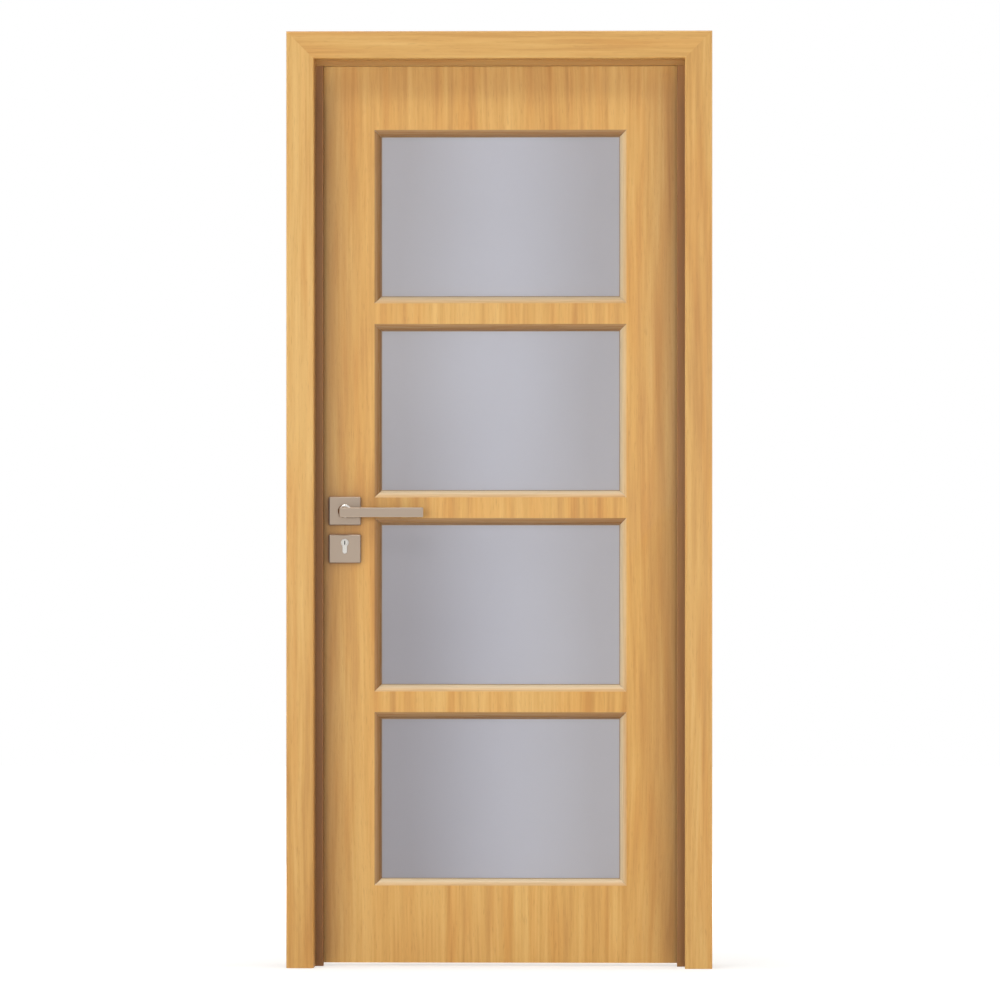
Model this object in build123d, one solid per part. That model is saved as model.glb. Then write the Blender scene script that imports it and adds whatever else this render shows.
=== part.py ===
from build123d import *
import os

# Interior door set: a glazed flush leaf, veneered in oak, hung in a lined frame with casings on both faces.
# Millimetres. +Z is up, +X is to the right seen from the push side, and +Y points the way the leaf opens.
# The origin is at floor level on the outer face of the hinge jamb, halfway through the wall.

# Leaf
leaf_width = 826.0
leaf_height = 2040.0
leaf_thickness = 40.0
skin_thickness = 4.0
stile_width = 127.0
top_rail_height = 150.0
cross_rail_height = 47.0
bottom_rail_height = 175.0
lock_edge_relief = 1.8  # planed off the lock edge on the push side, so that the edge swings clear

# Glazing
glass_thickness = 4.0
glass_edge_clearance = 3.0
bead_width = 15.0
bead_lip = 2.0  # upright edge of the bead beside the glass
bead_crown = 2.6  # rise of the rounded slope above a straight one
bead_mitre_gap = 0.3

# Frame
leaf_gap = 5.5  # leaf to jambs, head and stops
floor_gap = 6.0
jamb_thickness = 30.0
jamb_depth = 140.0
stop_projection = 18.0
head_stop_projection = 12.0
stop_depth = 30.0
stop_edge_radius = 2.0
casing_width = 62.0  # from the face of the jamb to the outer edge
casing_thickness = 12.0
casing_edge_radius = 5.0
back_casing_setback = 8.0  # leaves room for the hinge knuckles

# Lift-off hinges
hinge_height = 100.0
hinge_inset = 220.0  # end of the leaf to the middle of the outer hinges
hinge_plate_width = 30.0
hinge_plate_thickness = 2.5
hinge_plate_radius = 6.0
knuckle_radius = 7.0
knuckle_stand_off = 2.0  # knuckle to the face of the leaf
knuckle_gap = 0.3
knuckle_chamfer = 1.5
pin_radius = 4.0
pin_clearance = 0.05
pin_end_gap = 1.0
knuckle_cap = 5.0  # metal left above the bore

# Handle
handle_height = 1031.0  # spindle above the floor
backset = 60.0  # lock edge to spindle
rose_width = 72.0
rose_height = 64.0
rose_thickness = 9.0
rose_chamfer = 1.5
lever_length = 180.0  # spindle to tip
lever_height = 22.0
lever_thickness = 11.0
lever_stand_off = 46.0  # face of the leaf to the back of the lever
lever_edge_radius = 2.0
lever_corner_radius = 3.0
neck_radius = 8.0
neck_clearance = 0.05
neck_seat_gap = 0.3
spindle_side = 8.0
spindle_reach = 15.0  # into the neck of the back lever
spindle_clearance = 0.1
spindle_hole_radius = 11.0

# Lock
cylinder_drop = 72.0  # spindle to the turning plug of the key cylinder
plug_radius = 8.5
cylinder_height = 33.0
cylinder_foot_width = 10.0
cylinder_proud = 3.0
cylinder_clearance = 0.3
key_rose_drop = 6.0  # middle of the cylinder to the middle of its rose
keyway_width = 2.4
keyway_height = 9.0
keyway_depth = 7.0
faceplate_height = 235.0
faceplate_width = 22.0
faceplate_thickness = 3.0
bolt_width = 13.0
latch_height = 24.0
latch_slope = 7.0  # how far the sloped nose of the latch falls back
dead_bolt_height = 34.0
bolt_length = 30.0
bolt_setback = 1.5  # bolts are drawn back just under the edge of the leaf
bolt_clearance = 0.3
strike_margin = 26.0  # strike plate beyond its two windows
strike_front_margin = 5.0
strike_thickness = 2.0
strike_corner_radius = 4.0
strike_window_clearance = 2.0
strike_pocket_depth = 16.0

# Lites from top to bottom, and the rails between them
lites = ("top", "upper", "lower", "bottom")
cross_rails = ("upper_rail", "lock_rail", "lower_rail")
hinges = ("lower", "middle", "upper")

# Places worked out from the sizes above
clear_width = leaf_width + 2 * leaf_gap
hinge_jamb_x = -jamb_thickness
lock_jamb_x = hinge_jamb_x - clear_width
hinge_edge_x = hinge_jamb_x - leaf_gap
lock_edge_x = hinge_edge_x - leaf_width
lite_right_x = hinge_edge_x - stile_width
lite_left_x = lock_edge_x + stile_width
lite_width = lite_right_x - lite_left_x
lite_x = (lite_left_x + lite_right_x) / 2

wall_front_y = -jamb_depth / 2
wall_back_y = jamb_depth / 2
leaf_back_y = wall_back_y
leaf_front_y = leaf_back_y - leaf_thickness
leaf_y = (leaf_front_y + leaf_back_y) / 2
core_front_y = leaf_front_y + skin_thickness
core_back_y = leaf_back_y - skin_thickness
stop_back_y = leaf_front_y - leaf_gap
stop_front_y = stop_back_y - stop_depth

leaf_bottom_z = floor_gap
leaf_top_z = leaf_bottom_z + leaf_height
head_z = leaf_top_z + leaf_gap
frame_top_z = head_z + jamb_thickness
glazed_height = leaf_height - top_rail_height - bottom_rail_height
lite_pitch = (glazed_height + cross_rail_height) / len(lites)
lite_height = lite_pitch - cross_rail_height
lite_top_z = leaf_top_z - top_rail_height

pivot_x = hinge_jamb_x - leaf_gap / 2
pivot_y = leaf_back_y + knuckle_stand_off + knuckle_radius
spindle_x = lock_edge_x + backset
cylinder_z = handle_height - cylinder_drop
key_rose_z = cylinder_z + plug_radius - cylinder_height / 2 - key_rose_drop
bead_depth = (leaf_thickness - glass_thickness) / 2


def lite_z(index):
    """Middle height of a lite, counted from the top."""
    return lite_top_z - lite_height / 2 - index * lite_pitch


def block(x0, x1, y0, y1, z0, z1):
    """Rectangular piece between two corners."""
    middle = Pos((x0 + x1) / 2, (y0 + y1) / 2, (z0 + z1) / 2)
    return middle * Box(x1 - x0, y1 - y0, z1 - z0)


def prism(points, y0, y1):
    """Outline drawn in the plane of the wall as (x, z) points, given thickness from y0 to y1."""
    face = make_face(Polyline([(x, y0, z) for x, z in points], close=True))
    return extrude(face, y1 - y0, dir=(0, 1, 0))


def to_back(piece):
    """The same piece on the other face of the leaf."""
    return Pos(0, 2 * leaf_y, 0) * mirror(piece, about=Plane.XZ)


def plan_prism(points, z0, z1):
    """Outline drawn from above as (x, y) points, given height from z0 to z1."""
    face = make_face(Polyline([(x, y, z0) for x, y in points], close=True))
    return extrude(face, z1 - z0, dir=(0, 0, 1))


def lock_edge_wedge():
    """Sliver planed off the lock edge: nothing at the back face, the full relief at the front face."""
    plan = [
        (lock_edge_x, leaf_back_y),
        (lock_edge_x + lock_edge_relief, leaf_front_y),
        (lock_edge_x, leaf_front_y),
    ]
    return plan_prism(plan, leaf_bottom_z, leaf_top_z)


# Frame: jambs, head, stops and casings
def hinge_plate(x0, x1):
    """Plate of a hinge with its two buried corners rounded, about the middle of the hinge."""
    y0 = leaf_back_y - hinge_plate_width
    plate = block(x0, x1, y0, leaf_back_y, -hinge_height / 2, hinge_height / 2)
    buried = plate.edges().filter_by(Axis.X).group_by(Axis.Y)[0]
    return fillet(buried, hinge_plate_radius)


def jamb_hinge_plate():
    return hinge_plate(hinge_jamb_x, hinge_jamb_x + hinge_plate_thickness)


def leaf_hinge_plate():
    return hinge_plate(hinge_edge_x - hinge_plate_thickness, hinge_edge_x)


def hinge_places():
    """Heights of the hinges, evenly spaced between the outer two."""
    lowest = leaf_bottom_z + hinge_inset
    highest = leaf_top_z - hinge_inset
    step = (highest - lowest) / (len(hinges) - 1)
    return [Pos(0, 0, lowest + index * step) for index in range(len(hinges))]


def strike_windows(depth):
    """Openings for the latch and the dead bolt, sunk into the lock jamb to a depth."""
    half_width = bolt_width / 2 + strike_window_clearance
    windows = []
    for height, z in ((latch_height, handle_height), (dead_bolt_height, cylinder_z)):
        half_height = height / 2 + strike_window_clearance
        windows.append(
            block(lock_jamb_x - depth, lock_jamb_x, leaf_y - half_width, leaf_y + half_width,
                  z - half_height, z + half_height)
        )
    return windows


def strike_outline():
    """Strike plate before its windows are cut, with rounded corners on the buried side."""
    y0 = leaf_y - bolt_width / 2 - strike_window_clearance - strike_front_margin
    z0 = cylinder_z - dead_bolt_height / 2 - strike_margin
    z1 = handle_height + latch_height / 2 + strike_margin
    plate = block(lock_jamb_x - strike_thickness, lock_jamb_x, y0, wall_back_y, z0, z1)
    buried = plate.edges().filter_by(Axis.X).group_by(Axis.Y)[0]
    return fillet(buried, strike_corner_radius)


def jambs():
    hinge_jamb = block(hinge_jamb_x, 0, wall_front_y, wall_back_y, 0, frame_top_z)
    hinge_jamb -= [place * jamb_hinge_plate() for place in hinge_places()]
    lock_jamb = block(lock_jamb_x - jamb_thickness, lock_jamb_x, wall_front_y, wall_back_y, 0, frame_top_z)
    lock_jamb -= [strike_outline()] + strike_windows(strike_pocket_depth)
    head_jamb = block(lock_jamb_x, hinge_jamb_x, wall_front_y, wall_back_y, head_z, frame_top_z)
    return {"hinge_jamb": hinge_jamb, "lock_jamb": lock_jamb, "head_jamb": head_jamb}


def stops():
    """Strips that the leaf closes against, with the edge that shows from the push side eased."""
    def eased(strip, grain, height):
        shown = strip.faces().sort_by(Axis.Y)[0].edges().filter_by(grain)
        return fillet(shown.sort_by(height)[0], stop_edge_radius)

    top_z = head_z - head_stop_projection
    hinge_side = block(hinge_jamb_x - stop_projection, hinge_jamb_x, stop_front_y, stop_back_y, 0, top_z)
    lock_side = block(lock_jamb_x, lock_jamb_x + stop_projection, stop_front_y, stop_back_y, 0, top_z)
    head = block(lock_jamb_x, hinge_jamb_x, stop_front_y, stop_back_y, top_z, head_z)
    return {
        "hinge_side_stop": eased(hinge_side, Axis.Z, Axis.X),
        "lock_side_stop": eased(lock_side, Axis.Z, -Axis.X),
        "head_stop": eased(head, Axis.X, Axis.Z),
    }


def casings(face, wall_y, front_y, setback):
    """Two side casings and a head casing, mitred together, with their front edges rounded."""
    left = lock_jamb_x - setback
    right = hinge_jamb_x + setback
    top = head_z + setback
    far_left = lock_jamb_x - casing_width
    far_right = hinge_jamb_x + casing_width
    far_top = head_z + casing_width
    outlines = {
        "lock_side": ([(far_left, 0), (left, 0), (left, top), (far_left, far_top)], Axis.Z),
        "hinge_side": ([(right, 0), (far_right, 0), (far_right, far_top), (right, top)], Axis.Z),
        "head": ([(left, top), (right, top), (far_right, far_top), (far_left, far_top)], Axis.X),
    }
    pieces = {}
    for side, (outline, grain) in outlines.items():
        board = prism(outline, min(wall_y, front_y), max(wall_y, front_y))
        shown = board.faces().filter_by(Axis.Y).sort_by(lambda one: abs(one.center().Y - front_y))[0]
        pieces[f"{face}_casing_{side}"] = fillet(shown.edges().filter_by(grain), casing_edge_radius)
    return pieces


def strike_plate():
    return {"strike_plate": strike_outline() - strike_windows(strike_thickness)}


# Leaf: stile and rail core, two veneered skins, glass and beads
def handle_holes(y0, y1):
    """Round hole for the spindle and shaped hole for the key cylinder, from y0 to y1."""
    spindle_hole = Plane.XZ.location * Cylinder(spindle_hole_radius, y1 - y0)
    cylinder_hole = cylinder_bar(y1 - y0, cylinder_clearance)
    middle_y = (y0 + y1) / 2
    return [
        Pos(spindle_x, middle_y, handle_height) * spindle_hole,
        Pos(spindle_x, y1, cylinder_z) * cylinder_hole,
    ]


def core():
    """Stiles the full height of the leaf, with the rails between them."""
    def member(x0, x1, z0, z1):
        return block(x0, x1, core_front_y, core_back_y, z0, z1)

    hinge_stile = member(lite_right_x, hinge_edge_x, leaf_bottom_z, leaf_top_z)
    hinge_stile -= [place * leaf_hinge_plate() for place in hinge_places()]
    lock_stile = member(lock_edge_x, lite_left_x, leaf_bottom_z, leaf_top_z)
    lock_stile -= [lock_edge_wedge(), faceplate_outline()] + bolt_bars(bolt_clearance, 0)
    lock_stile -= handle_holes(core_front_y, core_back_y)
    pieces = {"hinge_stile": hinge_stile, "lock_stile": lock_stile}
    pieces["top_rail"] = member(lite_left_x, lite_right_x, lite_top_z, leaf_top_z)
    for index, name in enumerate(cross_rails):
        rail_top_z = lite_z(index) - lite_height / 2
        pieces[name] = member(lite_left_x, lite_right_x, rail_top_z - cross_rail_height, rail_top_z)
    bottom_top_z = leaf_bottom_z + bottom_rail_height
    pieces["bottom_rail"] = member(lite_left_x, lite_right_x, leaf_bottom_z, bottom_top_z)
    return pieces


def skin(y0, y1):
    """Veneered board over one face of the core, cut out for the lites and the handle set."""
    board = block(lock_edge_x, hinge_edge_x, y0, y1, leaf_bottom_z, leaf_top_z)
    cut_outs = [lock_edge_wedge()] + handle_holes(y0, y1)
    for index in range(len(lites)):
        bottom_z = lite_z(index) - lite_height / 2
        cut_outs.append(block(lite_left_x, lite_right_x, y0, y1, bottom_z, bottom_z + lite_height))
    return board - cut_outs


def skins():
    front_skin = skin(leaf_front_y, core_front_y)
    back_skin = skin(core_back_y, leaf_back_y)
    back_skin -= [place * leaf_hinge_plate() for place in hinge_places()]
    return {"front_skin": front_skin, "back_skin": back_skin}


def panes():
    half_width = lite_width / 2 - glass_edge_clearance
    half_height = lite_height / 2 - glass_edge_clearance
    pieces = {}
    for index, lite in enumerate(lites):
        z = lite_z(index)
        pieces[f"{lite}_glass"] = block(
            lite_x - half_width, lite_x + half_width,
            leaf_y - glass_thickness / 2, leaf_y + glass_thickness / 2,
            z - half_height, z + half_height,
        )
    return pieces


def bead_strip(length):
    """Bead along X, its foot at z = 0 against the rail and its slope facing up, mitred at both ends."""
    glass_y = leaf_front_y + bead_depth
    face_edge = (leaf_front_y, 0)
    lip_edge = (glass_y - bead_lip, bead_width)
    slope = SagittaArc(lip_edge, face_edge, -bead_crown)
    back = Polyline(face_edge, (glass_y, 0), (glass_y, bead_width), lip_edge)
    section = Plane.YZ.location * make_face([slope, back])
    bar = extrude(section, length / 2, dir=(1, 0, 0), both=True)
    half = length / 2 - bead_mitre_gap
    mitre = [(-half, 0), (half, 0), (half - bead_width, bead_width), (bead_width - half, bead_width)]
    return bar & prism(mitre, leaf_front_y, glass_y)


def bead_ring():
    """Four mitred strips round a lite on the front face, about the middle of the lite."""
    level = Pos(0, 0, -lite_height / 2) * bead_strip(lite_width)
    upright = Pos(0, 0, -lite_width / 2) * bead_strip(lite_height)
    turned = [level, Rot(0, 180, 0) * level, Rot(0, 90, 0) * upright, Rot(0, -90, 0) * upright]
    return turned


def beads():
    """Beads of each lite, on both faces of the glass."""
    ring = bead_ring()
    both_faces = ring + [to_back(strip) for strip in ring]
    pieces = {}
    for index, lite in enumerate(lites):
        place = Pos(lite_x, 0, lite_z(index))
        pieces[f"{lite}_beads"] = Compound([place * strip for strip in both_faces])
    return pieces


# Hinges: the frame half carries the pin, the leaf half lifts off it
def knuckle(z0, z1):
    """Barrel of a hinge on the pivot, with its outer end chamfered."""
    barrel = Pos(pivot_x, pivot_y, (z0 + z1) / 2) * Cylinder(knuckle_radius, z1 - z0)
    end = barrel.edges().sort_by(lambda edge: abs(edge.center().Z))[-1]
    return chamfer(end, knuckle_chamfer)


def hinge_halves():
    half = hinge_height / 2
    bore_top_z = half - knuckle_cap
    split = knuckle_gap / 2

    tongue = block(hinge_jamb_x, hinge_jamb_x + hinge_plate_thickness, leaf_back_y, pivot_y, -half, -split)
    pin_top_z = bore_top_z - pin_end_gap
    pin_foot_z = knuckle_cap - half
    pin = Pos(pivot_x, pivot_y, (pin_foot_z + pin_top_z) / 2) * Cylinder(pin_radius, pin_top_z - pin_foot_z)
    frame_half = jamb_hinge_plate() + tongue + knuckle(-half, -split) + pin

    tongue = block(hinge_edge_x - hinge_plate_thickness, hinge_edge_x, leaf_back_y, pivot_y, split, half)
    bore_radius = pin_radius + pin_clearance
    bore = Pos(pivot_x, pivot_y, bore_top_z / 2) * Cylinder(bore_radius, bore_top_z)
    leaf_half = leaf_hinge_plate() + tongue + knuckle(split, half) - bore
    return frame_half, leaf_half


def hinge_set():
    frame_half, leaf_half = hinge_halves()
    pieces = {}
    for name, place in zip(hinges, hinge_places()):
        pieces[f"{name}_hinge_frame_half"] = place * frame_half
        pieces[f"{name}_hinge_leaf_half"] = place * leaf_half
    return pieces


# Lock: faceplate and bolts in the lock edge, key cylinder through the leaf
def faceplate_outline():
    """Faceplate before its windows are cut, with round ends, sunk into the lock edge."""
    outline = Plane.YZ.location * SlotOverall(faceplate_height, faceplate_width, rotation=90)
    plate = extrude(outline, faceplate_thickness, dir=(1, 0, 0))
    return Pos(lock_edge_x, leaf_y, (handle_height + cylinder_z) / 2) * plate


def bolt_bars(clearance, setback):
    """Latch above and dead bolt below, each grown by a clearance."""
    half_width = bolt_width / 2 + clearance
    bars = []
    for height, z in ((latch_height, handle_height), (dead_bolt_height, cylinder_z)):
        half_height = height / 2 + clearance
        end_x = lock_edge_x + bolt_setback + bolt_length + clearance
        bars.append(
            block(lock_edge_x + setback, end_x, leaf_y - half_width, leaf_y + half_width,
                  z - half_height, z + half_height)
        )
    return bars


def cylinder_bar(length, clearance):
    """Key cylinder's outline, a round plug over a narrow foot, running back from y = 0."""
    foot_radius = cylinder_foot_width / 2
    foot_drop = cylinder_height - plug_radius - foot_radius
    outline = Circle(plug_radius + clearance)
    outline += Pos(0, -foot_drop / 2) * Rectangle(cylinder_foot_width + 2 * clearance, foot_drop)
    outline += Pos(0, -foot_drop) * Circle(foot_radius + clearance)
    return extrude(Plane.XZ.location * outline, length, dir=(0, -1, 0))


def key_cylinder():
    reach = rose_thickness + cylinder_proud
    bar = Pos(0, leaf_back_y + reach, 0) * cylinder_bar(leaf_thickness + 2 * reach, 0)
    front_y = leaf_front_y - reach
    keyway = block(-keyway_width / 2, keyway_width / 2, front_y, front_y + keyway_depth,
                   -keyway_height / 2, keyway_height / 2)
    return Pos(spindle_x, 0, cylinder_z) * (bar - [keyway, to_back(keyway)])


def lock():
    latch, dead_bolt = bolt_bars(0, bolt_setback)
    tip_x = lock_edge_x + bolt_setback
    near_y = leaf_y - bolt_width / 2
    nose = [(tip_x, leaf_y + bolt_width / 2), (tip_x, near_y), (tip_x + latch_slope, near_y)]
    latch -= plan_prism(nose, handle_height - latch_height / 2, handle_height + latch_height / 2)
    faceplate = faceplate_outline() - ([lock_edge_wedge()] + bolt_bars(bolt_clearance, 0))
    return {
        "lock_faceplate": faceplate,
        "lock_bolts": Compound([latch, dead_bolt]),
        "key_cylinder": key_cylinder(),
    }


# Handle set: drawn with its axis along local Z, outwards from the leaf, and local X towards the lever's tip
def on_front(piece, z):
    face = Plane(origin=(spindle_x, leaf_front_y, z), x_dir=(1, 0, 0), z_dir=(0, -1, 0))
    return face.location * piece


def rose_blank():
    """Square cover plate with its front rim and corners chamfered."""
    plate = extrude(Rectangle(rose_width, rose_height), rose_thickness)
    rim = plate.faces().sort_by(Axis.Z)[-1].edges()
    return chamfer(rim + plate.edges().filter_by(Axis.Z), rose_chamfer)


def roses():
    neck_hole = Pos(0, 0, rose_thickness / 2) * Cylinder(neck_radius + neck_clearance, rose_thickness)
    front_lever_rose = on_front(rose_blank() - neck_hole, handle_height)
    slot = Pos(spindle_x, leaf_front_y, cylinder_z) * cylinder_bar(rose_thickness, cylinder_clearance)
    front_key_rose = on_front(rose_blank(), key_rose_z) - slot
    return {
        "front_lever_rose": front_lever_rose,
        "back_lever_rose": to_back(front_lever_rose),
        "front_key_rose": front_key_rose,
        "back_key_rose": to_back(front_key_rose),
    }


def lever():
    """Flat bar with soft edges on a round neck, its upper edge level with the top of the neck."""
    bar_length = lever_length + lever_height / 2
    outline = RectangleRounded(bar_length, lever_height, lever_corner_radius)
    outline = Pos(lever_length - bar_length / 2, neck_radius - lever_height / 2) * outline
    bar = Pos(0, 0, lever_stand_off) * extrude(outline, lever_thickness)
    rims = bar.faces().sort_by(Axis.Z)[0].edges() + bar.faces().sort_by(Axis.Z)[-1].edges()
    bar = fillet(rims, lever_edge_radius)
    neck_length = lever_stand_off - neck_seat_gap
    neck = Pos(0, 0, neck_seat_gap + neck_length / 2) * Cylinder(neck_radius, neck_length)
    return bar + neck


def levers():
    """Front lever with the square spindle fixed in it, and a back lever with the socket that takes it."""
    spindle_length = leaf_thickness + spindle_reach + lever_stand_off
    spindle_middle = Pos(0, 0, lever_stand_off - spindle_length / 2)
    spindle = spindle_middle * Box(spindle_side, spindle_side, spindle_length)
    socket_side = spindle_side + 2 * spindle_clearance
    socket_depth = spindle_reach + spindle_clearance
    socket = Pos(0, 0, socket_depth / 2) * Box(socket_side, socket_side, socket_depth)
    return {
        "front_lever": on_front(lever() + spindle, handle_height),
        "back_lever": to_back(on_front(lever() - socket, handle_height)),
    }


pieces = {}
pieces.update(jambs())
pieces.update(stops())
pieces.update(casings("front", wall_front_y, wall_front_y - casing_thickness, 0))
pieces.update(casings("back", wall_back_y, wall_back_y + casing_thickness, back_casing_setback))
pieces.update(strike_plate())
pieces.update(core())
pieces.update(skins())
pieces.update(panes())
pieces.update(beads())
pieces.update(hinge_set())
pieces.update(lock())
pieces.update(roses())
pieces.update(levers())

os.makedirs("parts", exist_ok=True)
for node, piece in pieces.items():
    export_step(piece, f"parts/{node}.step")
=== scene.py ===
import math

import bmesh
import bpy
from mathutils import Matrix, Vector


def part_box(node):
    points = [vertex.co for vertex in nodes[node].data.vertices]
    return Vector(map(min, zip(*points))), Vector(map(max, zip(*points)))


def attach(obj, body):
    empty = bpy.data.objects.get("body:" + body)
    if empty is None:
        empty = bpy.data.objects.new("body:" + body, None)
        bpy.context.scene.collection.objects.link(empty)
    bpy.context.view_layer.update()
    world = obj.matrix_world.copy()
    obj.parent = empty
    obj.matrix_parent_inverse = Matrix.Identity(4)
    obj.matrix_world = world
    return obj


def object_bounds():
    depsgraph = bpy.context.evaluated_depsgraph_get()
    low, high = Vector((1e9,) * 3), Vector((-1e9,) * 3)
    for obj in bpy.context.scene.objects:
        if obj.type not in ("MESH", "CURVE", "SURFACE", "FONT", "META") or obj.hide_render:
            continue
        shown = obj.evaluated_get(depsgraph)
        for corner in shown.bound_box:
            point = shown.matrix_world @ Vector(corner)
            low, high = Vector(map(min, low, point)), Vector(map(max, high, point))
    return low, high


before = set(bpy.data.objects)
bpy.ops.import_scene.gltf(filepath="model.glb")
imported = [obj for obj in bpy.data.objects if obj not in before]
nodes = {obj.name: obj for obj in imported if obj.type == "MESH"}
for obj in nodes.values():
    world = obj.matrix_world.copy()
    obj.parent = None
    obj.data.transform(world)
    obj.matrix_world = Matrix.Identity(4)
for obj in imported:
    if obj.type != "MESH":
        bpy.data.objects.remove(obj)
cad_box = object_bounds()

# Where the outer edges of the casings lie in the picture, in pixels of a square frame
picture_size = 1000
picture_left, picture_right = 286.8, 711.3
picture_top, picture_bottom = 30.75, 968.6
camera_distance = 16.0  # long lens: the reveals hardly show
camera_azimuth = 1.6  # degrees to the right of straight ahead
sensor_width = 36.0

# Oak, from the dark late wood to the pale early wood
leaf_oak_colours = ("#C9934C", "#DAA85D", "#E5B96F")
casing_oak_colours = ("#C18D49", "#D2A159", "#DDB26B")
# The lining is a touch deeper than the casings, a painted shade for the reveals
lining_oak_colours = ("#BC8845", "#CC9A55", "#D9AC66")
# Painted shade: the stops are darker than the lining, most on the lock side, for the shade in the reveals
head_stop_painted_shade_colours = ("#9E7034", "#AD8042", "#B89151")
lock_stop_painted_shade_colours = ("#84572A", "#926637", "#9E7444")
hinge_stop_painted_shade_colours = ("#9A6934", "#AA7A44", "#B78A54")
bead_oak_colours = ("#CC9A5C", "#DBAE70", "#E4BD84")
oak_pore = "#A87439"
oak_orange = "#F8E6CE"
# Painted shade: the deep brown of the inner corners of the oak
oak_painted_corner_shade = "#6B4526"
# Painted shade of the left and upper beads, and painted light of the lower and right ones
bead_painted_shade = "#7A5230"
bead_painted_light = "#F2DEB8"

# The most that each grain tone, painted light and painted shade covers the oak, from 0 to 1
warm_most = 0.5
pore_most = 0.32
bead_painted_light_most = 0.85
bead_painted_shade_most = 0.7
under_head_most = 0.1

# Glass, metal and stage
glass_middle = "#CCCCD4"
# Painted shade towards the sides of each pane
glass_painted_edge_shade = "#BDBBC0"
# Painted shade on the lock side of the two lower panes
glass_painted_deep_shade = "#E4E3E5"
nickel = "#AE9D8D"
polished_nickel = "#DAD6CF"
steel = "#A9A8A5"
screw_zinc = "#8F8E8B"
# Dark keyway pins, partly their own finish and partly painted shade of the deep keyways
keyway_shade_black = "#2B2927"
tape_brown = "#A98C6C"
floor_grey = "#C9C9C7"
white = "#FFFFFF"

mm = 0.001

# Reach of the fibre sway and of the painted shade on the oak and the glass, in metres
fibre_sway = 30 * mm
painted_shade_reach = 120 * mm
under_head_top = 2046 * mm
under_head_foot = 1940 * mm
glass_shade_top = 1370 * mm
glass_shade_full = 770 * mm

# Where the painted shade on the lower panes starts and is full, in shares of half the width of a pane from
# its middle
glass_shade_start_side = 0.7
glass_shade_full_side = -0.8

# Details that the solids leave out, in metres
bead_width = 15 * mm
tape_width = 1.4 * mm
tape_thickness = 1.0 * mm
tape_rounding = 0.4 * mm
screw_radius = 4.0 * mm
screw_proud = 0.45 * mm
screw_recess = 0.35 * mm
screw_rim = 0.3 * mm  # sunk below the plate
screw_fall = 0.7  # share of its height that the head loses at the rim
cross_arm = 0.25 * screw_radius
cross_reach = 0.6 * screw_radius
hinge_plate_width = 30 * mm
hinge_screw_rise = 34 * mm
plate_screw_inset = 11 * mm
edge_slope = 1.8 / 40  # the lock edge leans back across the thickness of the leaf
# Radii and heights of the rings, in millimetres
collar_profile = [(8.5, 0.0), (16.0, 0.0), (15.8, 1.4), (15.0, 2.7),
                  (13.6, 3.6), (11.8, 4.0), (10.0, 4.0), (8.5, 3.2)]
plug_profile = [(6.0, 0.0), (6.8, 0.0), (6.8, 0.2), (6.6, 0.4), (6.2, 0.4), (6.0, 0.2)]
keyway_size = Vector((2.2, 5.6, 8.8)) * mm
keyway_sunk = 1.2 * mm
ring_steps = 48
crease_angle = 35  # degrees
floor_drop = 0.5 * mm


def linear(hex_colour):
    """An sRGB hex colour as linear red, green, blue and alpha."""
    channels = [int(hex_colour[start:start + 2], 16) / 255 for start in (1, 3, 5)]
    return [c / 12.92 if c <= 0.04045 else ((c + 0.055) / 1.055) ** 2.4 for c in channels] + [1.0]


def add(tree, kind, inputs=None, stops=None, give=None, **settings):
    """Adds a node, fills or links its sockets by identifier, and returns one of its outputs."""
    node = tree.nodes.new(kind)
    for name, value in settings.items():
        setattr(node, name, value)
    sockets = {socket.identifier: socket for socket in node.inputs}
    for name, value in (inputs or {}).items():
        if isinstance(value, bpy.types.NodeSocket):
            tree.links.new(value, sockets[name])
        else:
            sockets[name].default_value = value
    for index, (place, colour) in enumerate(stops or []):
        ramp = node.color_ramp.elements
        stop = ramp[index] if index < 2 else ramp.new(place)
        stop.position = place
        stop.color = colour
    outputs = {socket.identifier: socket for socket in node.outputs}
    return outputs[give] if give else next(iter(outputs.values()), None)


def new_material(name):
    made = bpy.data.materials.new(name)
    made.use_nodes = True
    made.node_tree.nodes.clear()
    return made


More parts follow.
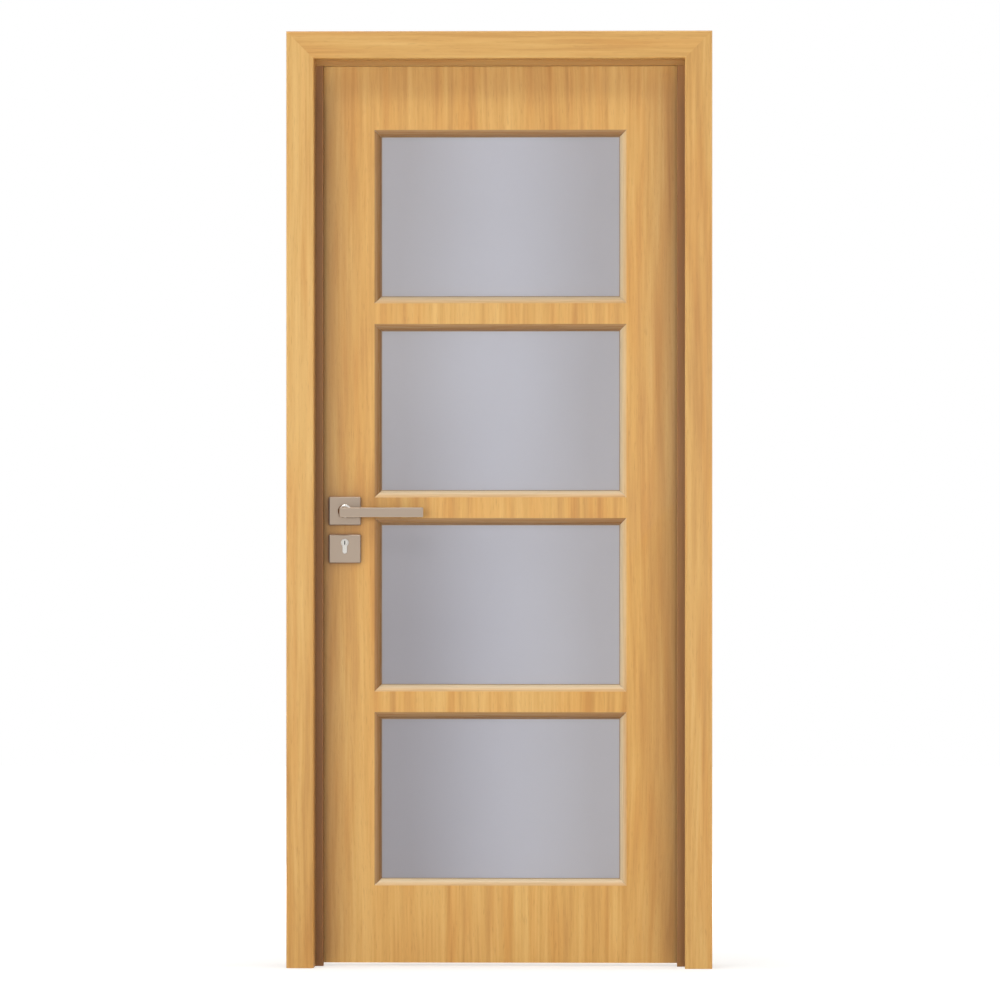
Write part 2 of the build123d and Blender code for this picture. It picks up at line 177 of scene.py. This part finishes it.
# Materials
def oak(name, grain, colours, roughness):
    """Straight-grained oak under satin lacquer: long soft streaks, short dark pores and a low even sheen,
    with painted shade in its inner corners. Grain is the axis it runs along, or "strip" for beads, which run
    level or upright; left and upper beads carry painted shade and the others painted light."""
    made = new_material(name)
    tree = made.node_tree
    coords = add(tree, "ShaderNodeTexCoord", give="Object")
    x, y, z = add(tree, "ShaderNodeSeparateXYZ", {"Vector": coords}).node.outputs
    upright = add(tree, "ShaderNodeCombineXYZ", {"X": x, "Y": y, "Z": z})
    level = add(tree, "ShaderNodeCombineXYZ", {"X": z, "Y": y, "Z": x})
    if grain == "strip":
        normal = add(tree, "ShaderNodeTexCoord", give="Normal")
        facing = add(tree, "ShaderNodeVectorMath", {"Vector": normal}, operation="ABSOLUTE")
        leaning = add(tree, "ShaderNodeSeparateXYZ", {"Vector": facing}).node.outputs
        runs_level = add(tree, "ShaderNodeMath", {"Value": leaning["Z"], "Value_001": leaning["X"]},
                         operation="GREATER_THAN")
        along = add(tree, "ShaderNodeMix", {"Factor_Float": runs_level, "A_Vector": upright,
                                            "B_Vector": level}, give="Result_Vector", data_type="VECTOR")
    else:
        along = upright if grain == "upright" else level

    def streaks(place, width, length, detail):
        """Noise drawn out along the grain, with streaks of a width and length in millimetres."""
        across, lengthwise = 1 / (width * mm), 1 / (length * mm)
        scaled = add(tree, "ShaderNodeMapping", {"Vector": place, "Scale": (across, across, lengthwise)})
        return add(tree, "ShaderNodeTexNoise", {"Vector": scaled, "Scale": 1.0, "Detail": detail}).node

    # A slow sway of the fibres, up to about 8 mm, keeps the streaks from running dead straight
    sway = streaks(along, 140, 900, 1.0).outputs["Color"]
    centred = add(tree, "ShaderNodeVectorMath", {"Vector": sway, "Vector_001": (0.5, 0.5, 0.5)},
                  operation="SUBTRACT")
    swayed = add(tree, "ShaderNodeVectorMath", {"Vector": centred, "Vector_001": [fibre_sway] * 3,
                                                "Vector_002": along}, operation="MULTIPLY_ADD")
    rings = streaks(swayed, 18, 480, 2.0).outputs[0]
    fibres = streaks(swayed, 6, 190, 2.0).outputs[0]
    tone = streaks(along, 160, 1400, 0.0).outputs[0]
    # Pores are about 0.3 mm wide, and drawn 1.8 mm wide so that they show
    pores = streaks(swayed, 1.8, 26, 1.0).outputs[0]

    mixed = add(tree, "ShaderNodeMath", {"Value": rings, "Value_001": 0.5, "Value_002": 0.0},
                operation="MULTIPLY_ADD")
    mixed = add(tree, "ShaderNodeMath", {"Value": fibres, "Value_001": 0.3, "Value_002": mixed},
                operation="MULTIPLY_ADD")
    mixed = add(tree, "ShaderNodeMath", {"Value": tone, "Value_001": 0.20, "Value_002": mixed},
                operation="MULTIPLY_ADD")
    late, middle, early = colours
    wood = add(tree, "ShaderNodeValToRGB", {"Fac": mixed},
               stops=[(0.34, linear(late)), (0.66, linear(early)), (0.50, linear(middle))])
    # Some of the streaks run more orange than the rest
    warm = streaks(swayed, 30, 420, 1.0).outputs[0]
    warmth = add(tree, "ShaderNodeMapRange", {"Value": warm, "From Min": 0.48, "From Max": 0.66,
                                              "To Max": warm_most})
    wood = add(tree, "ShaderNodeMix", {"Factor_Float": warmth, "A_Color": wood,
                                       "B_Color": linear(oak_orange)},
               give="Result_Color", data_type="RGBA", blend_type="MULTIPLY")
    pore_depth = add(tree, "ShaderNodeMapRange", {"Value": pores, "From Min": 0.58, "From Max": 0.78,
                                                  "To Min": 0.0, "To Max": pore_most})
    colour = add(tree, "ShaderNodeMix", {"Factor_Float": pore_depth, "A_Color": wood,
                                         "B_Color": linear(oak_pore)},
                 give="Result_Color", data_type="RGBA")
    if grain == "strip":
        # Painted shade on the left and upper strips towards the glass, and a pale painted light on the others
        slope = add(tree, "ShaderNodeSeparateXYZ", {"Vector": normal}).node.outputs
        turned = add(tree, "ShaderNodeMath", {"Value": slope["X"], "Value_001": slope["Z"]},
                     operation="SUBTRACT")
        painted_light = add(tree, "ShaderNodeMapRange", {"Value": turned, "From Min": -0.3, "From Max": -0.85,
                                                  "To Max": bead_painted_light_most})
        colour = add(tree, "ShaderNodeMix", {"Factor_Float": painted_light, "A_Color": colour,
                                             "B_Color": linear(bead_painted_light)},
                     give="Result_Color", data_type="RGBA")
        painted_shade = add(tree, "ShaderNodeMapRange", {"Value": turned, "From Min": -0.15, "From Max": 0.55,
                                                 "To Max": bead_painted_shade_most})
        painted_shade_colour = bead_painted_shade
    else:
        # Painted shade: inner corners, where ambient occlusion finds other surfaces near, are darkened a deep
        # brown, less so under the head
        exposed = add(tree, "ShaderNodeAmbientOcclusion", {"Distance": painted_shade_reach}, give="AO", samples=16)
        most = add(tree, "ShaderNodeMapRange", {"Value": z, "From Min": under_head_top,
                                                "From Max": under_head_foot, "To Min": under_head_most})
        painted_shade = add(tree, "ShaderNodeMapRange", {"Value": exposed, "From Min": 1.0, "From Max": 0.2,
                                                 "To Max": most})
        painted_shade_colour = oak_painted_corner_shade
    colour = add(tree, "ShaderNodeMix", {"Factor_Float": painted_shade, "A_Color": colour,
                                         "B_Color": linear(painted_shade_colour)},
                 give="Result_Color", data_type="RGBA")
    sheen = add(tree, "ShaderNodeMapRange", {"Value": fibres, "From Min": 0.3, "From Max": 0.7,
                                             "To Min": roughness - 0.05, "To Max": roughness + 0.05})
    bump = add(tree, "ShaderNodeBump", {"Height": pore_depth, "Strength": 0.12, "Distance": 0.2 * mm},
               invert=True)
    shader = add(tree, "ShaderNodeBsdfPrincipled", {"Base Color": colour, "Roughness": sheen, "Normal": bump,
                                                    "IOR": 1.5})
    add(tree, "ShaderNodeOutputMaterial", {"Surface": shader})
    return made


def frosted_glass():
    """Acid-etched float glass: a fine matt tooth scatters what comes through, with a faint lilac-grey tint,
    painted light down the middle of the panes and painted shade towards their sides."""
    made = new_material("frosted_glass")
    tree = made.node_tree
    coords = add(tree, "ShaderNodeTexCoord", give="Object")
    pane_low, pane_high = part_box("top_glass")
    half_width = (pane_high.x - pane_low.x) / 2
    middle_x = pane_low.x + half_width
    place = add(tree, "ShaderNodeSeparateXYZ", {"Vector": coords}).node.outputs
    # Painted light down the middle of each pane and painted shade towards its sides, with a random cloudy
    # tone mixed in
    aside = add(tree, "ShaderNodeMath", {"Value": place["X"], "Value_001": middle_x}, operation="SUBTRACT")
    aside = add(tree, "ShaderNodeMath", {"Value": aside}, operation="ABSOLUTE")
    cloud_and_edge_shade = add(tree, "ShaderNodeMapRange", {"Value": aside, "From Max": half_width},
               interpolation_type="SMOOTHSTEP")
    cloud = add(tree, "ShaderNodeTexNoise", {"Vector": coords, "Scale": 1 / (260 * mm), "Detail": 1.0})
    cloud_and_edge_shade = add(tree, "ShaderNodeMath", {"Value": cloud, "Value_001": 0.3, "Value_002": cloud_and_edge_shade},
               operation="MULTIPLY_ADD")
    tint = add(tree, "ShaderNodeValToRGB", {"Fac": cloud_and_edge_shade},
               stops=[(0.15, linear(glass_middle)), (1.0, linear(glass_painted_edge_shade))])
    # Painted shade: in the two lower panes the glass darkens towards the lock side
    start_x = middle_x + glass_shade_start_side * half_width
    full_x = middle_x + glass_shade_full_side * half_width
    lockward = add(tree, "ShaderNodeMapRange", {"Value": place["X"], "From Min": start_x, "From Max": full_x},
                   interpolation_type="SMOOTHSTEP")
    lowness = add(tree, "ShaderNodeMapRange", {"Value": place["Z"], "From Min": glass_shade_top,
                                               "From Max": glass_shade_full})
    lock_side_shade = add(tree, "ShaderNodeMath", {"Value": lockward, "Value_001": lowness}, operation="MULTIPLY")
    tint = add(tree, "ShaderNodeMix", {"Factor_Float": lock_side_shade, "A_Color": tint, "B_Color": linear(glass_painted_deep_shade)},
               give="Result_Color", data_type="RGBA", blend_type="MULTIPLY")
    # The etched tooth is finer than 0.1 mm, and drawn 2.5 mm wide so that it shows
    tooth = add(tree, "ShaderNodeTexNoise", {"Vector": coords, "Scale": 1 / (2.5 * mm), "Detail": 2.0})
    matt = add(tree, "ShaderNodeMapRange", {"Value": tooth, "From Min": 0.3, "From Max": 0.7,
                                            "To Min": 0.5, "To Max": 0.6})
    bump = add(tree, "ShaderNodeBump", {"Height": tooth, "Strength": 0.05, "Distance": 0.1 * mm})
    shader = add(tree, "ShaderNodeBsdfPrincipled", {"Base Color": tint, "Roughness": matt, "Normal": bump,
                                                    "IOR": 1.52, "Transmission Weight": 0.5})
    add(tree, "ShaderNodeOutputMaterial", {"Surface": shader})
    return made


def brushed_metal(name, colour, roughness, grain):
    """Metal with a fine satin finish: short even scratches along one axis spread the highlights sideways."""
    made = new_material(name)
    tree = made.node_tree
    coords = add(tree, "ShaderNodeTexCoord", give="Object")
    # The scratches are about 0.1 mm wide, and drawn 0.4 mm wide so that they show
    across, along = 1 / (0.4 * mm), 1 / (40 * mm)
    scale = (along, across, across) if grain == "level" else (across, across, along)
    scaled = add(tree, "ShaderNodeMapping", {"Vector": coords, "Scale": scale})
    scratches = add(tree, "ShaderNodeTexNoise", {"Vector": scaled, "Scale": 1.0, "Detail": 2.0})
    satin = add(tree, "ShaderNodeMapRange", {"Value": scratches, "From Min": 0.3, "From Max": 0.7,
                                             "To Min": roughness - 0.02, "To Max": roughness + 0.02})
    bump = add(tree, "ShaderNodeBump", {"Height": scratches, "Strength": 0.006, "Distance": 0.02 * mm})
    shader = add(tree, "ShaderNodeBsdfPrincipled", {"Base Color": linear(colour), "Metallic": 1.0,
                                                    "Roughness": satin, "Normal": bump})
    add(tree, "ShaderNodeOutputMaterial", {"Surface": shader})
    return made


def glazing_foam(name, colour):
    """Closed-cell glazing tape: matt, with a faint grain of cells."""
    made = new_material(name)
    tree = made.node_tree
    coords = add(tree, "ShaderNodeTexCoord", give="Object")
    # The cells are about 0.2 mm across, and drawn 0.8 mm across so that they show
    cells = add(tree, "ShaderNodeTexNoise", {"Vector": coords, "Scale": 1 / (0.8 * mm), "Detail": 1.0})
    shade = add(tree, "ShaderNodeMapRange", {"Value": cells, "From Min": 0.3, "From Max": 0.7,
                                             "To Min": 0.85, "To Max": 1.15})
    tint = add(tree, "ShaderNodeVectorMath", {"Vector": linear(colour)[:3], "Scale": shade},
               operation="SCALE")
    bump = add(tree, "ShaderNodeBump", {"Height": cells, "Strength": 0.2, "Distance": 0.1 * mm})
    shader = add(tree, "ShaderNodeBsdfPrincipled", {"Base Color": tint, "Roughness": 0.7, "Normal": bump,
                                                    "IOR": 1.5})
    add(tree, "ShaderNodeOutputMaterial", {"Surface": shader})
    return made


def dress(name, finish):
    """Gives a CAD node its finish."""
    slots = nodes[name].data.materials
    slots.clear()
    slots.append(finish)


leaf_oak = oak("oak_veneer_upright", "upright", leaf_oak_colours, 0.42)
rail_oak = oak("oak_core_level", "level", leaf_oak_colours, 0.42)
side_oak = oak("oak_casing_upright", "upright", casing_oak_colours, 0.40)
head_oak = oak("oak_casing_level", "level", casing_oak_colours, 0.40)
lining_oak = oak("oak_lining_upright", "upright", lining_oak_colours, 0.45)
lock_stop_oak = oak("oak_lock_stop", "upright", lock_stop_painted_shade_colours, 0.45)
hinge_stop_oak = oak("oak_hinge_stop", "upright", hinge_stop_painted_shade_colours, 0.45)
head_stop_oak = oak("oak_head_stop", "level", head_stop_painted_shade_colours, 0.45)
bead_oak = oak("oak_bead", "strip", bead_oak_colours, 0.28)
etched_glass = frosted_glass()
satin_nickel = brushed_metal("satin_nickel", nickel, 0.30, "level")
bright_nickel = brushed_metal("polished_nickel", polished_nickel, 0.16, "level")
satin_steel = brushed_metal("satin_stainless_steel", steel, 0.34, "upright")
zinc_steel = brushed_metal("zinc_plated_steel", screw_zinc, 0.38, "level")
keyway_shade_steel = brushed_metal("blackened_steel_keyway_shade", keyway_shade_black, 0.45, "upright")
brown_tape = glazing_foam("brown_glazing_tape", tape_brown)


def finish_for(name):
    if name.endswith("_glass"):
        return etched_glass
    if name.endswith("_beads"):
        return bead_oak
    if name == "key_cylinder":
        return bright_nickel
    if "lever" in name or "rose" in name:
        return satin_nickel
    if name.endswith("_half") or name in ("strike_plate", "lock_faceplate", "lock_bolts"):
        return satin_steel
    stops = {"head_stop": head_stop_oak, "lock_side_stop": lock_stop_oak, "hinge_side_stop": hinge_stop_oak}
    if name in stops:
        return stops[name]
    if "head" in name:
        return head_oak
    if "casing" in name:
        return side_oak
    if "jamb" in name:
        return lining_oak
    if name.endswith("_rail"):
        return rail_oak
    return leaf_oak


for name in nodes:
    dress(name, finish_for(name))


# Details
def new_piece(name, shape, finish, body):
    """Makes a finished shape a piece of the object, with smooth faces and sharp creases."""
    bmesh.ops.remove_doubles(shape, verts=shape.verts, dist=0.001 * mm)
    bmesh.ops.recalc_face_normals(shape, faces=shape.faces)
    for face in shape.faces:
        face.smooth = True
    mesh = bpy.data.meshes.new(name)
    shape.to_mesh(mesh)
    shape.free()
    mesh.set_sharp_from_angle(angle=math.radians(crease_angle))
    mesh.materials.append(finish)
    piece = bpy.data.objects.new(name, mesh)
    bpy.context.scene.collection.objects.link(piece)
    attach(piece, body)


def glazing_tape(pane):
    """Tape that shows as a narrow line on both faces of a pane, along the inner edges of its beads."""
    beads_low, beads_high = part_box(f"{pane}_beads")
    glass_low, glass_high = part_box(f"{pane}_glass")
    size = beads_high - beads_low - Vector((2 * bead_width, 0, 2 * bead_width))
    centre = (beads_low + beads_high) / 2
    shape = bmesh.new()
    for glass_y, outward in ((glass_low.y, -1), (glass_high.y, 1)):
        on_glass = (Matrix.Translation((centre.x, glass_y, centre.z))
                    @ Matrix.Diagonal((size.x, 1, size.z, 1)) @ Matrix.Rotation(math.radians(90), 4, "X"))
        corners = bmesh.ops.create_grid(shape, x_segments=1, y_segments=1, size=0.5, matrix=on_glass)["verts"]
        pane_face = corners[0].link_faces[0]
        border = bmesh.ops.inset_region(shape, faces=[pane_face], thickness=tape_width, use_boundary=True,
                                         use_even_offset=True)
        bmesh.ops.delete(shape, geom=[pane_face], context="FACES")
        raised = bmesh.ops.extrude_face_region(shape, geom=border["faces"])["geom"]
        top = [item for item in raised if isinstance(item, bmesh.types.BMVert)]
        bmesh.ops.translate(shape, verts=top, vec=(0, outward * tape_thickness, 0))
        top_faces = [item for item in raised if isinstance(item, bmesh.types.BMFace)]
        rims = {edge for face in top_faces for edge in face.edges
                if sum(other in top_faces for other in edge.link_faces) == 1}
        bmesh.ops.bevel(shape, geom=list(rims), offset=tape_rounding, affect="EDGES", segments=2, profile=0.5,
                        material=-1)
    new_piece(f"{pane}_glazing_tape", shape, brown_tape, "leaf")


def screw_head(shape, place, facing):
    """Countersunk screw head with a cross recess. Its middle is at place, and it looks towards facing."""
    steps = 5
    verts = bmesh.ops.create_grid(shape, x_segments=steps, y_segments=steps, size=1.0)["verts"]
    for vert in verts:
        ring = max(abs(vert.co.x), abs(vert.co.y))
        radius = ring * screw_radius
        vert.co = vert.co.normalized() * radius
        vert.co.z = screw_proud * (1 - screw_fall * ring ** 2)
    faces = {face for vert in verts for face in vert.link_faces}
    middles = {face: face.calc_center_median() for face in faces}
    cross = [face for face, at in middles.items()
             if min(abs(at.x), abs(at.y)) < cross_arm / 2 and max(abs(at.x), abs(at.y)) < cross_reach]
    rim = [edge for edge in {edge for face in faces for edge in face.edges} if edge.is_boundary]
    sunk = bmesh.ops.extrude_face_region(shape, geom=cross)["geom"]
    bottom = [item for item in sunk if isinstance(item, bmesh.types.BMVert)]
    bmesh.ops.translate(shape, verts=bottom, vec=(0, 0, -screw_recess))
    skirt = bmesh.ops.extrude_edge_only(shape, edges=rim)["geom"]
    foot = [item for item in skirt if isinstance(item, bmesh.types.BMVert)]
    for vert in foot:
        vert.co.z = -screw_rim
    base = bmesh.ops.contextual_create(shape, geom=foot)["faces"]
    everything = {vert for face in list(faces & set(shape.faces)) + base for vert in face.verts}
    everything.update(bottom, foot)
    aim = Vector(facing).to_track_quat("Z", "Y").to_matrix().to_4x4()
    bmesh.ops.transform(shape, matrix=Matrix.Translation(place) @ aim, verts=list(everything))


def screws(name, body, heads):
    shape = bmesh.new()
    for place, facing in heads:
        screw_head(shape, place, facing)
    new_piece(name, shape, zinc_steel, body)


def hinge_screws(hinge, half, body, face_x, facing):
    """Three screws to a hinge plate, the middle one nearer the front."""
    plate_low, plate_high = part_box(f"{hinge}_hinge_{half}")
    middle_z = (plate_low.z + plate_high.z) / 2
    front_y = plate_low.y + hinge_plate_width / 3
    back_y = plate_low.y + hinge_plate_width * 2 / 3
    heads = [((face_x, y, middle_z + rise), facing)
             for rise, y in ((-hinge_screw_rise, back_y), (0, front_y), (hinge_screw_rise, back_y))]
    screws(f"{hinge}_hinge_{half}_screws", body, heads)


def plate_screws():
    """Screws at the ends of the strike plate and of the lock faceplate."""
    strike_low, strike_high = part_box("strike_plate")
    leaf_low, leaf_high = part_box("back_skin")
    lock_low, lock_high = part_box("lock_faceplate")
    mid_y = (lock_low.y + lock_high.y) / 2
    ends = (strike_low.z + plate_screw_inset, strike_high.z - plate_screw_inset)
    screws("strike_plate_screws", "frame", [((strike_high.x, mid_y, z), (1, 0, 0)) for z in ends])
    edge_x = leaf_low.x + edge_slope * (leaf_high.y - mid_y)
    ends = (lock_low.z + plate_screw_inset, lock_high.z - plate_screw_inset)
    screws("lock_faceplate_screws", "leaf", [((edge_x, mid_y, z), (-1, -edge_slope, 0)) for z in ends])


def ring(shape, centre, outward, profile):
    """Spins a closed profile of radii and heights, in millimetres, about a line along Y."""
    verts = [shape.verts.new(centre + Vector((radius, outward * height, 0)) * mm)
             for radius, height in profile]
    edges = [shape.edges.new(pair) for pair in zip(verts, verts[1:] + verts[:1])]
    bmesh.ops.spin(shape, geom=verts + edges, cent=centre, axis=(0, 1, 0), angle=math.tau, steps=ring_steps,
                   use_merge=True)


def lever_collars_and_plugs():
    """Collars round the lever necks, the rims of the turning plugs of the key cylinder, and dark pins in the
    keyways, partly their own finish and partly painted shade of the deep keyways.
    """
    rose_low, rose_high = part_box("front_lever_rose")
    rose_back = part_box("back_lever_rose")[1].y
    cylinder_low, cylinder_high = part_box("key_cylinder")
    neck = (rose_low + rose_high) / 2
    plug_z = cylinder_high.z - (cylinder_high.x - cylinder_low.x) / 2
    for side, rose_y, plug_y, outward in (("front", rose_low.y, cylinder_low.y, -1),
                                          ("back", rose_back, cylinder_high.y, 1)):
        shape = bmesh.new()
        ring(shape, Vector((neck.x, rose_y, neck.z)), outward, collar_profile)
        new_piece(f"{side}_lever_collar", shape, bright_nickel, "leaf")
        shape = bmesh.new()
        ring(shape, Vector((neck.x, plug_y, plug_z)), outward, plug_profile)
        new_piece(f"{side}_key_plug_rim", shape, bright_nickel, "leaf")
        # The dark pins stand partly for painted shade in the deep keyway
        sunk_y = plug_y - outward * (keyway_sunk + keyway_size.y / 2)
        place = Matrix.Translation((neck.x, sunk_y, plug_z)) @ Matrix.Diagonal((*keyway_size, 1))
        shape = bmesh.new()
        bmesh.ops.create_cube(shape, size=1.0, matrix=place)
        new_piece(f"{side}_keyway_pins_and_shade", shape, keyway_shade_steel, "leaf")


for pane in ("top", "upper", "lower", "bottom"):
    glazing_tape(pane)
jamb_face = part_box("hinge_jamb")[0].x
leaf_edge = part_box("back_skin")[1].x
for hinge in ("lower", "middle", "upper"):
    hinge_screws(hinge, "frame_half", "frame", jamb_face, (-1, 0, 0))
    hinge_screws(hinge, "leaf_half", "leaf", leaf_edge, (1, 0, 0))
plate_screws()
lever_collars_and_plugs()


# Stage: floor, surroundings, lamps and camera
low, high = cad_box
middle = (low + high) / 2


def seen_directly(tree):
    """1 where the camera, a reflection or a view through glass meets the surface, 0 for light it sheds."""
    path = add(tree, "ShaderNodeLightPath").node.outputs
    first = add(tree, "ShaderNodeMath", {"Value": path["Is Camera Ray"], "Value_001": path["Is Glossy Ray"]},
                operation="MAXIMUM")
    return add(tree, "ShaderNodeMath", {"Value": first, "Value_001": path["Is Transmission Ray"]},
               operation="MAXIMUM")


def surroundings(ambient):
    """Even soft light from all round, which shows as plain white."""
    world = bpy.data.worlds.new("studio")
    world.use_nodes = True
    tree = world.node_tree
    tree.nodes.clear()
    strength = add(tree, "ShaderNodeMapRange", {"Value": seen_directly(tree), "To Min": ambient,
                                                "To Max": 1.0})
    light = add(tree, "ShaderNodeBackground", {"Color": linear(white), "Strength": strength})
    add(tree, "ShaderNodeOutputWorld", {"Surface": light})
    bpy.context.scene.world = world


def floor(size, lift_near, fade_start, fade_end):
    """Pale floor that keeps the shadow near the door and fades to plain white further off."""
    mesh = bpy.data.meshes.new("floor")
    shape = bmesh.new()
    bmesh.ops.create_grid(shape, x_segments=1, y_segments=1, size=size / 2)
    bmesh.ops.translate(shape, verts=shape.verts, vec=(middle.x, middle.y, low.z - floor_drop))
    shape.to_mesh(mesh)
    shape.free()
    made = new_material("pale_floor")
    tree = made.node_tree
    coords = add(tree, "ShaderNodeTexCoord", give="Object")
    reach = add(tree, "ShaderNodeVectorMath", {"Vector": coords, "Vector_001": (middle.x, middle.y, low.z)},
                give="Value", operation="DISTANCE")
    lift = add(tree, "ShaderNodeMapRange", {"Value": reach, "From Min": fade_start, "From Max": fade_end,
                                            "To Min": lift_near, "To Max": 1.0})
    shown = add(tree, "ShaderNodeMath", {"Value": lift, "Value_001": seen_directly(tree)},
                operation="MULTIPLY")
    matt = add(tree, "ShaderNodeBsdfDiffuse", {"Color": linear(floor_grey)})
    glow = add(tree, "ShaderNodeEmission", {"Color": linear(white), "Strength": shown})
    both = add(tree, "ShaderNodeAddShader", {"Shader": matt, "Shader_001": glow})
    add(tree, "ShaderNodeOutputMaterial", {"Surface": both})
    mesh.materials.append(made)
    ground = bpy.data.objects.new("floor", mesh)
    bpy.context.scene.collection.objects.link(ground)
    ground.visible_shadow = False  # so that it doesn't count as closing in the foot of the door


def softbox(name, azimuth, elevation, distance, width, height, power, shines=True):
    """Area lamp that looks at the middle of the door. Azimuth 0 is in front, and positive to the right.
    A lamp that doesn't shine lights the door, and leaves no glare on metal or glass."""
    lamp = bpy.data.lights.new(name, "AREA")
    lamp.shape = "RECTANGLE"
    lamp.size = width
    lamp.size_y = height
    lamp.energy = power
    placed = bpy.data.objects.new(name, lamp)
    turn, rise = math.radians(azimuth), math.radians(elevation)
    towards = Vector((math.sin(turn) * math.cos(rise), -math.cos(turn) * math.cos(rise), math.sin(rise)))
    placed.location = middle + towards * distance
    placed.rotation_euler = towards.to_track_quat("Z", "Y").to_euler()
    placed.visible_glossy = shines
    placed.visible_transmission = shines
    bpy.context.scene.collection.objects.link(placed)


def camera():
    """Level view from the front, at mid height, framed by the casing edges in the picture."""
    lens_plane = high.z - low.z
    pixel = lens_plane / (picture_bottom - picture_top)
    lens = bpy.data.cameras.new("camera")
    lens.sensor_width = sensor_width
    lens.lens = sensor_width * camera_distance / (pixel * picture_size)
    lens.clip_end = 100.0
    placed = bpy.data.objects.new("camera", lens)
    aside = (picture_size - picture_left - picture_right) / 2 * pixel
    drop = (picture_size - picture_top - picture_bottom) / 2 * pixel
    turn = math.radians(camera_azimuth)
    right = Vector((math.cos(turn), math.sin(turn), 0))
    back = Vector((math.sin(turn), -math.cos(turn), 0))
    placed.location = Vector((middle.x, low.y, middle.z - drop)) + right * aside + back * camera_distance
    placed.rotation_euler = (math.radians(90), 0, turn)
    bpy.context.scene.collection.objects.link(placed)
    bpy.context.scene.camera = placed


bpy.context.scene.view_settings.view_transform = "Standard"
surroundings(ambient=0.14)
floor(size=24.0, lift_near=0.55, fade_start=0.7, fade_end=2.4)
softbox("front", azimuth=0, elevation=3, distance=4.5, width=5.4, height=1.4, power=143, shines=False)
softbox("back", azimuth=180, elevation=3, distance=4.5, width=5.4, height=1.4, power=140, shines=False)
softbox("left", azimuth=-88, elevation=6, distance=4.0, width=1.0, height=2.2, power=60)
softbox("right", azimuth=88, elevation=6, distance=4.0, width=1.0, height=2.2, power=60)
softbox("overhead", azimuth=0, elevation=86, distance=4.5, width=2.0, height=1.3, power=70)
softbox("highlight", azimuth=-22, elevation=44, distance=4.5, width=1.2, height=0.8, power=24)
camera()
